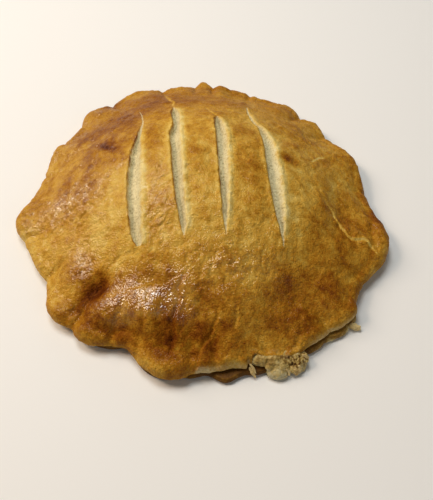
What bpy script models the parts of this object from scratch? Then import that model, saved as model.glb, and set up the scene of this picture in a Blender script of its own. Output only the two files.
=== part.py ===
"""Round puff-pastry cheese pie, about 150 mm across and 34 mm tall.

Three solids lie on each other: a flat scalloped sheet of pastry at the bottom, a lens of soft
white cheese that has run out through a torn spot in the rim, and a domed lid with four
slashes, a pinched rim and the folds that the dough took when it was closed.
The origin is the middle of the flat underside, +Z is up, and the torn spot faces -Y.
Sizes are in millimetres and angles in degrees, counted from +X towards +Y.
"""
import bpy
import numpy as np

MM = 0.001                      # one millimetre in the scene's metres
GAP = 0.3                       # clearance between pieces that touch

# The lid's dome and its outline
DOME_HEIGHT = 34.0
DOME_POWER = 1.15               # 1 is a paraboloid, more flattens the foot of the dome
DOME_INSET = 1.0                # the dome's foot lies this far inside the plain outline
LID_RADIUS = 69.2               # mean radius at the pinches between the lobes
LID_SHIFT = (0.8, -1.9)         # the plain outline's middle, a little off the pie's own
LID_OVAL = 2.4                  # the lid is longer by this on its long axis, and shorter across
LID_OVAL_AXIS = 118.0
LID_RINGS = 14
LID_ANGLES = 120
INNERMOST_RING = 0.08           # share of the radius at which the first ring lies round the middle

# The rim: lobes of dough pushed outward between pinches
RIM_LOW = 5.8                   # height of the rim's crest at a pinch
RIM_HIGH = 9.2                  # and on a full lobe
RIM_LIFT = 0.9                  # the rim's underside curls this far off the bottom sheet
NOSE_DEPTH = 4.2                # how far in from the edge the rounded nose begins
NOSE_WIDEST = 0.45              # the nose is widest at this share of its height
NOSE_STEPS = 5
LOBE_SPREAD = 1.1               # a lobe swells over a little more of the rim than it bulges out
LOBE_INNER_REACH = 17.0         # how far a lobe's ridge runs in over the dome
FOLD_FADE = 4.0                 # folds die out over this distance before the rim's crest
# (angle, reach beyond the plain outline, half-width, fullness from 0 to 1)
RIM_LOBES = (
    (-14.0, 6.5, 20.0, 1.00),
    (19.0, 3.2, 13.0, 0.90),
    (41.5, 2.6, 7.0, 0.45),
    (55.0, 2.6, 8.0, 0.60),
    (79.0, 0.8, 8.0, 0.60),
    (90.0, 4.4, 5.0, 0.45),
    (102.0, 0.9, 7.0, 0.50),
    (114.0, 2.9, 10.0, 0.85),
    (133.0, 3.2, 10.0, 1.00),
    (147.0, -1.6, 9.0, 0.00),
    (156.0, 1.2, 8.0, 0.70),
    (187.0, 7.4, 14.0, 0.80),
    (203.0, 2.2, 13.0, 0.45),
    (224.0, 6.2, 12.0, 0.75),
    (238.0, 4.2, 10.0, 0.90),
    (249.0, -2.0, 5.5, 0.00),
    (261.5, 4.9, 12.5, 1.00),
    (277.0, 0.3, 8.0, 0.50),
    (304.0, 0.4, 10.0, 0.40),
    (317.0, 3.0, 12.0, 0.70),
)

# Broad folds on the lid: (x, y, half-length, half-width, direction, height), pits are negative
LID_FOLDS = (
    (-21.0, -48.5, 15.0, 7.5, -8.0, 2.8),
    (-37.0, -44.5, 6.0, 4.5, -50.0, -4.6),
    (-46.0, -40.0, 8.0, 6.0, -60.0, 1.6),
    (-25.0, -59.0, 15.0, 3.5, -18.0, -1.6),
    (-8.0, -57.0, 10.0, 2.6, 95.0, -1.5),
    (6.0, -60.0, 8.0, 2.4, 65.0, -1.0),
    (33.0, -48.0, 9.0, 7.0, 30.0, -1.4),
    (55.0, -13.0, 9.0, 5.0, 100.0, -1.8),
    (60.0, -20.0, 9.0, 3.0, -20.0, 1.4),
    (-54.0, -9.0, 11.0, 5.0, 160.0, 1.2),
    (-38.0, 15.0, 9.0, 2.8, -50.0, -1.2),
    (16.0, -52.0, 9.0, 8.0, 60.0, 0.9),
)

# Slashes cut with a knife: (x and y of the far end, x and y of the near end, width, bow to +X)
SLASHES = (
    (-23.0, 22.0, -20.4, -33.0, 5.4, -2.0),
    (-11.2, 37.0, -4.2, -31.5, 4.2, -1.2),
    (5.6, 26.0, 10.2, -30.0, 4.3, 1.9),
    (19.8, 36.0, 30.2, -31.0, 5.3, 3.0),
)
SLASH_DEPTH = 3.1
SLASH_END_DEPTH = 0.8           # depth left at both ends, where the blade came out
SLASH_END_WIDTH = 0.25
SLASH_FLOOR_SHARE = 0.62        # width of the floor against the width at the surface
SLASH_HEADROOM = 2.0            # the cutter stands this far above the surface
SLASH_STATIONS = 15

# The cheese: a lens under the dome, and a tongue with lumps where it has run out
CHEESE_FLOOR = 2.9
CHEESE_RADIUS = 60.0
CHEESE_EDGE = 0.8               # thickness of the lens at its edge
CHEESE_TOP = 29.0
CHEESE_POWER = 0.95
CHEESE_RINGS = 8
CHEESE_ANGLES = 72
CAVITY_GAP = 0.45               # clearance between the lens and the lid, measured straight up

# The torn spot
TEAR_LINE = 65.6                # the lid ends on this straight line, in front of the pie's middle
TEAR_ANGLES = (285.0, 300.0)
TEAR_NOSE_DEPTH = 1.8
LUMP_WAVE = 0.06                # unevenness of a lump's skin, as a share of its size
LUMP_SIDES = 15
# Lumps of run-out cheese: (x, y, z, half-length, half-width, half-height)
CHEESE_LUMPS = (
    (26.5, -61.5, 4.6, 7.5, 8.5, 1.9),
    (27.6, -71.0, 4.2, 5.4, 4.6, 3.7),
    (32.6, -68.2, 4.4, 4.0, 3.6, 2.6),
    (24.2, -67.2, 4.8, 3.2, 2.9, 2.3),
)

# The bottom sheet
BASE_THICKNESS = 2.6
BASE_INSET = 1.6                # the sheet's plain outline lies this far inside the lid's
BASE_ANGLES = 120
# The sheet's rounded edge from its foot up: (inset from the outline, share of the thickness)
BASE_EDGE = ((1.1, 0.0), (0.25, 0.28), (0.0, 0.55), (0.5, 0.85), (1.3, 1.0))
# (angle, reach beyond the plain outline, half-width)
BASE_LOBES = (
    (-13.0, 5.0, 16.0),
    (20.0, 1.4, 10.0),
    (90.0, 1.5, 8.0),
    (114.0, 2.0, 12.0),
    (133.0, 2.4, 12.0),
    (187.0, 4.5, 12.0),
    (224.0, 3.6, 12.0),
    (238.0, 2.0, 10.0),
    (260.0, 2.6, 12.0),
    (280.0, 4.6, 11.0),
    (296.0, 3.6, 13.0),
    (313.0, 6.0, 12.5),
    (316.5, 1.6, 3.0),
)

# Loose corners of torn pastry: (x, y, z, length, width, heading, which way the point tips)
LID_FLAKES = (
    (17.2, -65.0, 5.4, 7.4, 2.8, -78.0, -8.0),
    (18.6, -65.0, 5.6, 8.0, 2.2, -74.0, -10.0),
    (35.2, -61.8, 6.0, 6.5, 3.0, -40.0, -6.0),
)
BASE_FLAKES = (
    (55.4, -52.8, 1.7, 4.0, 3.0, -36.0, 14.0),
)
FLAKE_THICKNESS = 0.9

CRUST_GOLD = (0.500, 0.250, 0.055)
CRUST_UNDER = (0.330, 0.170, 0.055)
CHEESE_PALE = (0.520, 0.470, 0.330)


def bump(distance, half_width):
    """A smooth hump, 1 in the middle and 0 from half_width outward."""
    share = np.clip(np.abs(distance) / half_width, 0.0, 1.0)
    return 0.5 + 0.5 * np.cos(np.pi * share)


def turn_between(angle, other):
    """The signed turn in degrees from other to angle, from -180 to 180."""
    return (angle - other + 180.0) % 360.0 - 180.0


def in_tear(angle):
    """True inside the torn stretch of the rim."""
    start, end = TEAR_ANGLES
    return (angle % 360.0 >= start) & (angle % 360.0 <= end)


def oval_radius(angle):
    """The plain oval that the pie would be with no lobes, with its middle a little shifted."""
    turn = np.radians(angle)
    shifted = LID_RADIUS + LID_SHIFT[0] * np.cos(turn) + LID_SHIFT[1] * np.sin(turn)
    return shifted + LID_OVAL * np.cos(2.0 * (turn - np.radians(LID_OVAL_AXIS)))


def lid_radius(angle):
    """An oval, plus a hump for each lobe, cut off by the straight line of the tear."""
    radius = oval_radius(angle)
    for middle, reach, half_width, _ in RIM_LOBES:
        radius = radius + reach * bump(turn_between(angle, middle), half_width)
    torn = in_tear(angle)
    towards_front = np.where(torn, -np.sin(np.radians(angle)), 1.0)
    return np.where(torn, np.minimum(radius, TEAR_LINE / towards_front), radius)


def lobe_fullness(angle):
    """How full the rim is at each angle, from 0 at a pinch to 1 on a fat lobe."""
    full = np.zeros_like(angle)
    for middle, _, half_width, fullness in RIM_LOBES:
        spread = half_width * LOBE_SPREAD
        full = np.maximum(full, fullness * bump(turn_between(angle, middle), spread))
    return full


def nose_depth(angle):
    """How far in from the edge the nose begins: less where the rim is torn."""
    return np.where(in_tear(angle), TEAR_NOSE_DEPTH, NOSE_DEPTH)


def fold_relief(x, y):
    """The sum of the broad folds, each a Gaussian hill or pit with its own direction."""
    height = np.zeros_like(x)
    for fold_x, fold_y, half_length, half_width, heading, amount in LID_FOLDS:
        turn = np.radians(heading)
        along = (x - fold_x) * np.cos(turn) + (y - fold_y) * np.sin(turn)
        across = (y - fold_y) * np.cos(turn) - (x - fold_x) * np.sin(turn)
        height = height + amount * np.exp(-(along / half_length) ** 2 - (across / half_width) ** 2)
    return height


def lid_height(x, y):
    """The lid's upper surface: a smooth dome, the rim's lobes swelling from it, and the folds."""
    angle = np.degrees(np.arctan2(y, x))
    from_middle = np.hypot(x, y)
    crest_radius = lid_radius(angle) - nose_depth(angle)
    share = np.clip(from_middle / (oval_radius(angle) - DOME_INSET), 0.0, 1.0)
    dome = RIM_LOW + (DOME_HEIGHT - RIM_LOW) * (1.0 - share ** 2) ** DOME_POWER
    outward = np.clip((crest_radius - from_middle) / LOBE_INNER_REACH, 0.0, 1.0)
    swelling = (RIM_HIGH - RIM_LOW) * lobe_fullness(angle) * bump(outward, 1.0)
    fade = np.clip((crest_radius - from_middle) / FOLD_FADE, 0.0, 1.0)
    return dome + swelling + fold_relief(x, y) * fade


def ring_points(radius, angle, height):
    """Stacks one ring of points from its radii, angles and heights."""
    turn = np.radians(angle)
    return np.stack([radius * np.cos(turn), radius * np.sin(turn), height + 0.0 * angle], axis=1)


def closed_shell(name, rings, first_pole, last_pole):
    """Joins equal rings, counter-clockwise seen from the last one, and closes both ends."""
    count = len(rings[0])
    points = np.vstack([*rings, [first_pole], [last_pole]]) * MM
    here = np.arange(count)
    after = (here + 1) % count
    faces = []
    for ring in range(len(rings) - 1):
        low = ring * count
        high = low + count
        faces += np.stack([low + here, low + after, high + after, high + here], axis=1).tolist()
    first, last = len(rings) * count, len(rings) * count + 1
    end = (len(rings) - 1) * count
    faces += np.stack([np.full(count, first), after, here], axis=1).tolist()
    faces += np.stack([end + here, end + after, np.full(count, last)], axis=1).tolist()
    mesh = bpy.data.meshes.new(name)
    mesh.from_pydata(points.tolist(), [], faces)
    mesh.validate()
    piece = bpy.data.objects.new(name, mesh)
    bpy.context.collection.objects.link(piece)
    return piece


def paint(piece, name, colour, roughness):
    """Gives a piece its own plain food material."""
    material = bpy.data.materials.new(name)
    material.use_nodes = True
    surface = material.node_tree.nodes["Principled BSDF"]
    surface.inputs["Base Color"].default_value = (*colour, 1.0)
    surface.inputs["Roughness"].default_value = roughness
    surface.inputs["Metallic"].default_value = 0.0
    piece.data.materials.clear()
    piece.data.materials.append(material)
    piece.data.shade_smooth()


def as_tool(piece):
    """Marks a piece as a helper that only shapes another piece."""
    piece.hide_render = True
    piece.display_type = 'WIRE'
    return piece


def combine(piece, tool, operation):
    """Cuts a tool from a piece or joins it to the piece."""
    step = piece.modifiers.new(tool.name, 'BOOLEAN')
    step.operation = operation
    step.object = as_tool(tool)
    step.solver = 'EXACT'


def cheese_height(x, y, rise):
    """The upper side of the cheese lens, a low dome, lifted by rise."""
    share = np.clip(np.hypot(x, y) / CHEESE_RADIUS, 0.0, 1.0)
    edge = CHEESE_FLOOR + CHEESE_EDGE + rise
    return edge + (CHEESE_TOP + rise - edge) * (1.0 - share ** 2) ** CHEESE_POWER


def cheese_rings(angle, rise, grow):
    """Rings over the lens from its edge towards the middle."""
    rings = []
    for share in np.sqrt(np.linspace(1.0, INNERMOST_RING ** 2, CHEESE_RINGS)):
        radius = CHEESE_RADIUS * share + 0.0 * angle
        flat = ring_points(radius, angle, 0.0)
        height = cheese_height(flat[:, 0], flat[:, 1], rise)
        rings.append(ring_points(radius + grow, angle, height))
    return rings


def lump(name, place, grow):
    """A squashed ball of cheese with a soft wavy skin."""
    x, y, z, half_length, half_width, half_height = place
    turn = np.linspace(0.0, 2.0 * np.pi, LUMP_SIDES, endpoint=False)
    rings = []
    for tilt in np.radians(np.arange(-60.0, 75.0, 30.0)):
        wave = 1.0 + LUMP_WAVE * np.sin(3.0 * turn + 4.0 * tilt + x)
        ring = np.stack([
            x + (half_length + grow) * np.cos(tilt) * wave * np.cos(turn),
            y + (half_width + grow) * np.cos(tilt) * wave * np.sin(turn),
            z + (half_height + grow) * np.sin(tilt) + 0.0 * turn,
        ], axis=1)
        rings.append(ring)
    bottom = (x, y, z - half_height - grow)
    top = (x, y, z + half_height + grow)
    return closed_shell(name, rings, bottom, top)


def flake(name, place):
    """A thin three-cornered scrap of pastry with its point tipped up or down."""
    x, y, z, length, width, heading, tip = place
    turn, slope = np.radians(heading), np.radians(tip)
    forward = np.array([np.cos(turn) * np.cos(slope), np.sin(turn) * np.cos(slope), np.sin(slope)])
    sideways = np.array([-np.sin(turn), np.cos(turn), 0.0])
    up = np.cross(forward, sideways)
    root = np.array([x, y, z])
    corners = [
        root - 0.5 * width * sideways,
        root + 0.55 * length * forward - 0.38 * width * sideways,
        root + length * forward,
        root + 0.5 * length * forward + 0.45 * width * sideways,
        root + 0.5 * width * sideways,
    ]
    lower = np.array([corner - 0.5 * FLAKE_THICKNESS * up for corner in corners])
    upper = np.array([corner + 0.5 * FLAKE_THICKNESS * up for corner in corners])
    middle = 0.5 * length * forward + root
    ends = (middle - 0.6 * FLAKE_THICKNESS * up, middle + 0.6 * FLAKE_THICKNESS * up)
    return closed_shell(name, [lower, upper], *ends)


def slash_cutter(name, cut):
    """A long lens that narrows towards its floor and follows the dome at a steady depth."""
    far_x, far_y, near_x, near_y, width, bow = cut
    share = np.linspace(0.0, 1.0, SLASH_STATIONS)
    belly = np.sin(np.pi * share)
    x = far_x + (near_x - far_x) * share + bow * belly
    y = far_y + (near_y - far_y) * share
    half = 0.5 * (SLASH_END_WIDTH + (width - SLASH_END_WIDTH) * belly ** 0.7)
    depth = SLASH_END_DEPTH + (SLASH_DEPTH - SLASH_END_DEPTH) * belly ** 0.5
    floor_half = SLASH_FLOOR_SHARE * half
    top_half = half + (half - floor_half) * SLASH_HEADROOM / SLASH_DEPTH
    corners = []
    for side, rise in ((-floor_half, -depth), (floor_half, -depth),
                       (top_half, SLASH_HEADROOM), (-top_half, SLASH_HEADROOM)):
        corners.append(np.stack([x + side, y, lid_height(x + side, y) + rise], axis=1))
    rings = list(np.stack(corners, axis=1))
    return closed_shell(name, rings, rings[0].mean(axis=0), rings[-1].mean(axis=0))


def build_base():
    """A thin flat sheet with a rounded, uneven edge."""
    angle = np.arange(0.0, 360.0, 360.0 / BASE_ANGLES)
    radius = oval_radius(angle) - BASE_INSET
    for middle, reach, half_width in BASE_LOBES:
        radius = radius + reach * bump(turn_between(angle, middle), half_width)
    rings = [ring_points(radius - inset, angle, share * BASE_THICKNESS) for inset, share in BASE_EDGE]
    sheet = closed_shell("base_sheet", rings, (0, 0, 0), (0, 0, BASE_THICKNESS))
    for number, place in enumerate(BASE_FLAKES):
        combine(sheet, flake(f"base_flake_{number}", place), 'UNION')
    for number, place in enumerate(CHEESE_LUMPS):
        combine(sheet, lump(f"base_room_{number}", place, GAP), 'DIFFERENCE')
    paint(sheet, "baked_base_pastry", CRUST_UNDER, 0.60)


def build_cheese():
    """The lens under the dome, with the lumps that have run out joined on."""
    angle = np.arange(0.0, 360.0, 360.0 / CHEESE_ANGLES)
    foot = ring_points(CHEESE_RADIUS + 0.0 * angle, angle, CHEESE_FLOOR)
    rings = [foot] + cheese_rings(angle, 0.0, 0.0)
    filling = closed_shell("cheese_filling", rings, (0, 0, CHEESE_FLOOR), (0, 0, CHEESE_TOP))
    for number, place in enumerate(CHEESE_LUMPS):
        combine(filling, lump(f"cheese_lump_{number}", place, 0.0), 'UNION')
    paint(filling, "soft_white_cheese", CHEESE_PALE, 0.50)


def build_lid():
    """The dome, the rounded nose of the rim, the underside and the room for the cheese."""
    angle = np.arange(0.0, 360.0, 360.0 / LID_ANGLES)
    edge = lid_radius(angle)
    nose = nose_depth(angle)
    crest_radius = edge - nose
    rings = []
    for share in np.sqrt(np.linspace(INNERMOST_RING ** 2, 1.0, LID_RINGS)):
        flat = ring_points(crest_radius * share, angle, 0.0)
        rings.append(ring_points(crest_radius * share, angle, lid_height(flat[:, 0], flat[:, 1])))
    crest = rings[-1][:, 2]
    floor = CHEESE_FLOOR + RIM_LIFT
    widest = floor + NOSE_WIDEST * (crest - floor)
    for turn in np.linspace(0.0, np.pi, NOSE_STEPS + 2)[1:]:
        half_height = crest - widest if turn < np.pi / 2 else widest - floor
        rings.append(ring_points(crest_radius + nose * np.sin(turn), angle,
                                 widest + half_height * np.cos(turn)))
    cavity = CHEESE_RADIUS + CAVITY_GAP
    rings.append(ring_points(0.5 * (crest_radius + cavity), angle, CHEESE_FLOOR))
    rings.append(ring_points(cavity + 0.0 * angle, angle, CHEESE_FLOOR))
    rings += cheese_rings(angle, CAVITY_GAP, CAVITY_GAP)
    top = float(lid_height(np.zeros(1), np.zeros(1))[0])
    roof = CHEESE_TOP + CAVITY_GAP
    lid = closed_shell("lid_crust", [ring[::-1] for ring in rings], (0, 0, top), (0, 0, roof))
    for number, cut in enumerate(SLASHES):
        combine(lid, slash_cutter(f"slash_{number}", cut), 'DIFFERENCE')
    for number, place in enumerate(LID_FLAKES):
        combine(lid, flake(f"lid_flake_{number}", place), 'UNION')
    for number, place in enumerate(CHEESE_LUMPS):
        combine(lid, lump(f"lid_room_{number}", place, GAP), 'DIFFERENCE')
    paint(lid, "egg_washed_puff_pastry", CRUST_GOLD, 0.42)


for leftover in list(bpy.data.objects):
    bpy.data.objects.remove(leftover, do_unlink=True)
build_base()
build_cheese()
build_lid()
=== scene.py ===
"""A round puff-pastry cheese pie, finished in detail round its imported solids.

It is put together as a baker does it, from the bottom sheet up. Sizes are in millimetres until a
mesh, a light or the camera is made. +X is right, -Y is towards the camera, +Z is up, and angles
are in degrees from +X towards +Y.
"""
from functools import partial
from itertools import product

import bpy
import numpy as np
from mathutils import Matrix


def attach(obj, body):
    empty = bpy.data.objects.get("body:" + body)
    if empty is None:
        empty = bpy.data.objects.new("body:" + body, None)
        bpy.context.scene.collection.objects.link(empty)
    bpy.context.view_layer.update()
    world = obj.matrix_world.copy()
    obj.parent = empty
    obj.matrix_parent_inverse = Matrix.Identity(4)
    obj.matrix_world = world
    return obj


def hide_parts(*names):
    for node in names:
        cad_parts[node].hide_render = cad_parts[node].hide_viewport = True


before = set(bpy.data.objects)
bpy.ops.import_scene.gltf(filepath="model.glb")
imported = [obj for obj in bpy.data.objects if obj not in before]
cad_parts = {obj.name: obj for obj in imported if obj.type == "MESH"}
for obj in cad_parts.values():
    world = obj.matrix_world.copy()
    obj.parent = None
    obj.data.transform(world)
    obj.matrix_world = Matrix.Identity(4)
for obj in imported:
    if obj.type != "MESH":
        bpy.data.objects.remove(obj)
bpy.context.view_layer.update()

# -------- bottom sheet
# A flat scalloped sheet of puff pastry that the pie was built on. It was rolled 2.6 mm thick and
# pressed on to the lid, and its edge shows at the front: brown and smooth, crumbled at the right.
MM = 0.001
OVAL_RADIUS = 69.2
OVAL_SHIFT = (0.8, -1.9)  # the outline's middle, off the pie's own
OVAL_STRETCH = 2.4
OVAL_AXIS = 118
SHEET_THICKNESS = 2.6
SHEET_INSET = 1.6  # the sheet's plain outline lies this far inside the lid's
SHEET_ANGLES = 900
SHEET_EDGE_DEPTH = 1.5  # how far in from the outline the rounded edge begins
SHEET_LAYER = 0.6  # thickness of one puffed layer of dough
SHEET_LAYER_RELIEF = 0.14
SHEET_UNEVEN = ((9, 0.4), (3, 0.16))  # (size, amount) all round the edge
SHEET_CRUMBLE = ((2.1, 0.5), (0.9, 0.3))  # and where it has crumbled
CRUMBLED = (313, 17)  # (angle, half-width) of that stretch
# (angle, reach beyond the plain outline, half-width)
SHEET_LOBES = (
    (-13, 5, 16), (20, 1.4, 10), (90, 1.5, 8), (114, 2, 12), (133, 2.4, 12), (187, 4.5, 12), (224, 3.6, 12),
    (237, 3.2, 10), (248.5, -1.8, 6), (260, 4.1, 12), (269.5, 1.4, 5), (278, 3.8, 7), (285.5, 2.2, 6),
    (296, 3.6, 13), (305, 2.2, 5.5), (313.5, 5.5, 10), (320, 3.2, 5))


def bump(distance, half_width):
    """A smooth hump: half of one plus the cosine of the distance's share of the half-width."""
    share = np.clip(np.abs(distance) / half_width, 0, 1)
    return 0.5 + 0.5 * np.cos(np.pi * share)


def rise(value, start, end):
    """0 before start and 1 after end; between them 3s^2 - 2s^3 of the share s of the way."""
    share = np.clip((value - start) / (end - start), 0, 1)
    return share * share * (3 - 2 * share)


def turn_between(angle, other):
    """The signed turn in degrees from other to angle, from -180 to 180."""
    return (angle - other + 180) % 360 - 180


def oval_radius(angle):
    """Mean radius, plus the shift of the middle along the angle, plus a stretch by cos 2a."""
    turn = np.radians(angle)
    shifted = OVAL_RADIUS + OVAL_SHIFT[0] * np.cos(turn) + OVAL_SHIFT[1] * np.sin(turn)
    return shifted + OVAL_STRETCH * np.cos(2 * (turn - np.radians(OVAL_AXIS)))


def unevenness(points, size, seed):
    """Gradient noise from about -1 to 1. Each corner of a cubic lattice has a random slope. The
    eight slopes round a point, each times the point's offset from its corner, are blended by
    6t^5 - 15t^4 + 10t^3 along each axis."""
    draw = np.random.default_rng(seed)
    order = draw.permutation(256)
    slopes = draw.normal(size=(256, 3))
    slopes /= np.linalg.norm(slopes, axis=1, keepdims=True)
    place = points / size
    corner = np.floor(place).astype(int)
    part = place - corner
    blend = part ** 3 * (part * (6 * part - 15) + 10)
    total = np.zeros(len(points))
    for step in product((0, 1), repeat=3):
        spot = (corner + step) & 255
        pick = order[(order[(order[spot[:, 0]] + spot[:, 1]) & 255] + spot[:, 2]) & 255]
        weight = np.prod(np.where(np.array(step) == 1, blend, 1 - blend), axis=1)
        total += weight * np.sum(slopes[pick] * (part - step), axis=1)
    return 1.6 * total


def layered_noise(points, layers, seed):
    """The sum of noises, one for each (size, amount)."""
    return sum(amount * unevenness(points, size, seed + number)
               for number, (size, amount) in enumerate(layers))


def ring_faces(rows, first, last=None):
    """Triangles between closed rings of point numbers, counter-clockwise seen from the last one,
    with a fan from a first pole and, where it is given, one to a last pole."""
    after = np.roll(rows, -1, axis=1)
    upper = np.stack([rows[:-1], after[:-1], after[1:]], axis=-1).reshape(-1, 3)
    lower = np.stack([rows[:-1], after[1:], rows[1:]], axis=-1).reshape(-1, 3)
    faces = [upper, lower, np.stack([np.full_like(rows[0], first), after[0], rows[0]], axis=1)]
    if last is not None:
        faces.append(np.stack([rows[-1], after[-1], np.full_like(rows[-1], last)], axis=1))
    return np.vstack(faces)


def closed_faces(rings, count):
    """The faces of equal rings numbered one after another, with both poles numbered after them."""
    rows = np.arange(rings * count).reshape(rings, count)
    return ring_faces(rows, rings * count, rings * count + 1)


def joined(shells, rings, count):
    """The points and faces of equal shells of rings and poles, as one mesh."""
    faces = closed_faces(rings, count)
    faces = [faces + number * len(shells[0]) for number in range(len(shells))]
    return np.vstack(shells), np.vstack(faces)


def add_object(name, data):
    """Puts an object with this mesh, light or camera into the scene."""
    made = bpy.data.objects.new(name, data)
    bpy.context.scene.collection.objects.link(made)
    return made


def add_piece(name, points, faces, tones, finish=None):
    """A smooth mesh object from points in millimetres, triangles, tone attributes and its finish."""
    mesh = bpy.data.meshes.new(name)
    mesh.from_pydata(points * MM, [], faces)
    mesh.shade_smooth()
    for tone, values in tones.items():
        mesh.attributes.new(tone, 'FLOAT', 'POINT').data.foreach_set("value", values)
    if finish:
        mesh.materials.append(finish)
    return add_object(name, mesh)


def round_points(radius, turn, height):
    """Points at the given radii, turns and heights, as one list."""
    points = np.stack([radius * np.cos(turn), radius * np.sin(turn), height], axis=-1)
    return points.reshape(-1, 3)


def with_lobes(radius, angle, lobes):
    """The radius plus a hump for each lobe."""
    for middle, reach, half_width, *_ in lobes:
        radius = radius + reach * bump(turn_between(angle, middle), half_width)
    return radius


def sheet_points():
    """Rings from the flat foot up over the edge to the flat top, then both poles. The edge is half
    an ellipse; noise and a wave for each layer of dough push it in and out along the radius."""
    angle = np.arange(SHEET_ANGLES) * 360 / SHEET_ANGLES
    turn = np.radians(angle)
    radius = with_lobes(oval_radius(angle) - SHEET_INSET, angle, SHEET_LOBES)
    tilt = np.radians(np.linspace(-90, 90, 17))[:, None]
    edge = radius - SHEET_EDGE_DEPTH * (1 - np.cos(tilt) ** 0.8)
    height = 0.5 * SHEET_THICKNESS * (1 + np.sin(tilt)) + 0 * angle
    inner = np.array([0.35, 0.8, 0.93])[:, None] * (radius - SHEET_EDGE_DEPTH)
    across = np.vstack([inner, edge, inner[::-1]])
    up = np.vstack([0 * inner, height, 0 * inner + SHEET_THICKNESS])
    share = np.vstack([0 * inner, np.cos(tilt) ** 0.5 + 0 * angle, 0 * inner]).ravel()
    points = round_points(across, turn, up)
    crumbly = np.tile(bump(turn_between(angle, CRUMBLED[0]), CRUMBLED[1]), len(across))
    wander = 0.5 * unevenness(points, 6, 11)
    layers = SHEET_LAYER_RELIEF * np.sin(2 * np.pi * (points[:, 2] / SHEET_LAYER + wander))
    rough = layered_noise(points, SHEET_CRUMBLE, 14)
    push = layers + layered_noise(points, SHEET_UNEVEN, 12) + crumbly * rough
    outward = np.tile(round_points(1, turn, 0 * turn), (len(across), 1))
    points += outward * (push * share)[:, None]
    crumbled_and_painted_light = np.clip(0.02 + 0.8 * layers + crumbly * (0.5 + 1.3 * rough), 0, 1) * share
    # Painted light: the crumbled stretch is kept at least this pale all through, lightening the sheet where
    # the lid's rim shades it.
    crumbled_and_painted_light = np.maximum(crumbled_and_painted_light, 0.36 * crumbly)
    points = np.vstack([points, [[0, 0, 0], [0, 0, SHEET_THICKNESS]]])
    return points, np.append(crumbled_and_painted_light, [0, 0]), len(across)


def linear(code):
    """Turns an sRGB hex colour into linear red, green, blue and full alpha."""
    coded = np.array([int(code[start:start + 2], 16) for start in (0, 2, 4)]) / 255
    straight = np.where(coded <= 0.04045, coded / 12.92, ((coded + 0.055) / 1.055) ** 2.4)
    return (*straight.tolist(), 1)


SHADER = "Principled BSDF"


def add_node(tree, kind, inputs=(), output=0, into=None, stops=(), **settings):
    """Adds a node with its properties, its (place, hex) colour stops and a value or link for each
    listed input. Gives one output, linked into the named socket of the main shader, if any."""
    node = tree.nodes.new("ShaderNode" + kind)
    for name, value in settings.items():
        setattr(node, name, value)
    for number, (place, code) in enumerate(stops):
        knots = node.color_ramp.elements
        knot = knots[number] if number < 2 else knots.new(place)
        knot.position = place
        knot.color = linear(code)
    for socket, value in dict(inputs).items():
        if isinstance(value, bpy.types.NodeSocket):
            tree.links.new(value, node.inputs[socket])
        else:
            node.inputs[socket].default_value = value
    if into:
        tree.links.new(node.outputs[output], tree.nodes[SHADER].inputs[into])
    return node.outputs[output]


def start_finish(name, **fixed):
    """A new material with fixed values on its shader, add_node for it, and its space in mm."""
    finish = bpy.data.materials.new(name)
    finish.use_nodes = True
    sockets = finish.node_tree.nodes[SHADER].inputs
    for socket, value in fixed.items():
        sockets[socket.replace("_", " ")].default_value = value
    add = partial(add_node, finish.node_tree)
    place = add('TexCoord', output="Object")
    space = add('VectorMath', {0: place, "Scale": 1 / MM}, operation='SCALE')
    return finish, add, space


def mottled(add, space, tone, grain):
    """The tone plus noise of each (size, amount)."""
    for size, amount in grain:
        noise = add('TexNoise', {"Vector": space, "Scale": 1 / size})
        tone = add('Math', {0: noise, 1: amount, 2: tone}, operation='MULTIPLY_ADD')
    return tone


# Baked puff pastry with little egg: a brown crust with a dull shine, paler where layers broke off,
# and paler still along the crumbled stretch at the right, as painted light where the lid shades it.
SHEET_STOPS = ((0, "432709"), (0.32, "6E4810"), (0.55, "9A732B"), (0.78, "C2A663"), (1, "DECF9C"))
SHEET_GRAIN = ((3, 0.5), (0.9, 0.35))  # (size, amount) of its mottling
sheet_finish, add, space = start_finish(
    "baked_bottom_pastry", Roughness=0.55, IOR=1.45, Specular_IOR_Level=0.2)
tone = add('Attribute', output="Fac", attribute_name="crumbled_and_painted_light")
tone = add('Math', {0: tone, 1: 0.85, 2: -0.18}, operation='MULTIPLY_ADD')
tone = mottled(add, space, tone, SHEET_GRAIN)
add('ValToRGB', {0: tone}, stops=SHEET_STOPS, into="Base Color")
crumb = add('TexNoise', {"Vector": space, "Scale": 1 / 0.7, "Detail": 3})
add('Bump', {"Height": crumb, "Distance": 0.4 * MM, "Strength": 0.6}, into="Normal")

points, crumbled_and_painted_light, rings = sheet_points()
faces = closed_faces(rings, SHEET_ANGLES)
sheet = add_piece("bottom_sheet", points, faces, {"crumbled_and_painted_light": crumbled_and_painted_light}, sheet_finish)
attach(sheet, "root")
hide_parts("base_sheet")

# -------- cheese
# Soft white cheese, a lens under the lid. In the oven it has run out through the torn spot at
# the front as a pale moist blob, with crumbly curds and a puffed scrap of inner dough beside it.
CHEESE_FLOOR = 2.9
CHEESE_RADIUS = 60
CHEESE_EDGE = 0.8  # thickness of the lens at its edge
CHEESE_TOP = 29
CHEESE_POWER = 0.95
CHEESE_ANGLES = 180
CHEESE_RINGS = 26
LUMP_TURNS = 64
LUMP_TILTS = 32
LUMP_VOXEL = 0.32
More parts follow.
